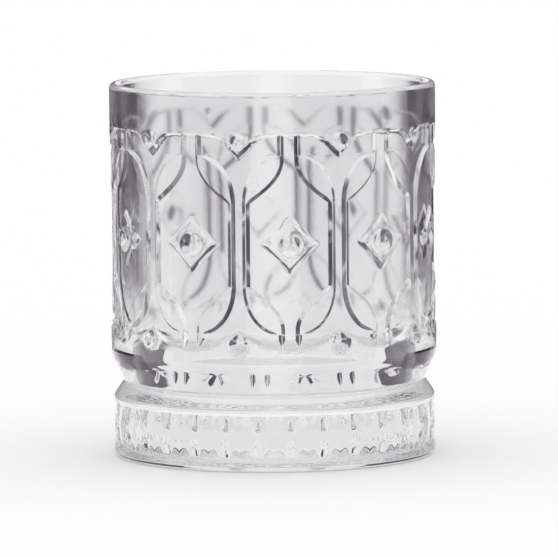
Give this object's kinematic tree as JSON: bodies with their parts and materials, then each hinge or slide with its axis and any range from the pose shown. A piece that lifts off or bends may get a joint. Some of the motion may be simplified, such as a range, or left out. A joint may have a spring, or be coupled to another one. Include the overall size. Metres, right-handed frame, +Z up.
{
  "type": "whisky glass",
  "caption": "Straight-sided whisky tumbler of clear pressed glass with a plain rim, a raised leaf lattice with stars, a waist groove and a solid foot ringed with diamonds.",
  "frame": {"origin": "centre of the underside, on the plane the glass stands on", "axes": "+Z up along the axis of the glass; -Y through the middle of one lattice panel"},
  "size_m": [0.084, 0.084, 0.0965],
  "materials": {
    "clear_glass": "fire-polished clear glass"
  },
  "bodies": {
    "root": {"foot": "clear_glass", "shoulder": "clear_glass", "lattice_wall": "clear_glass", "rim": "clear_glass"}
  },
  "joints": []
}
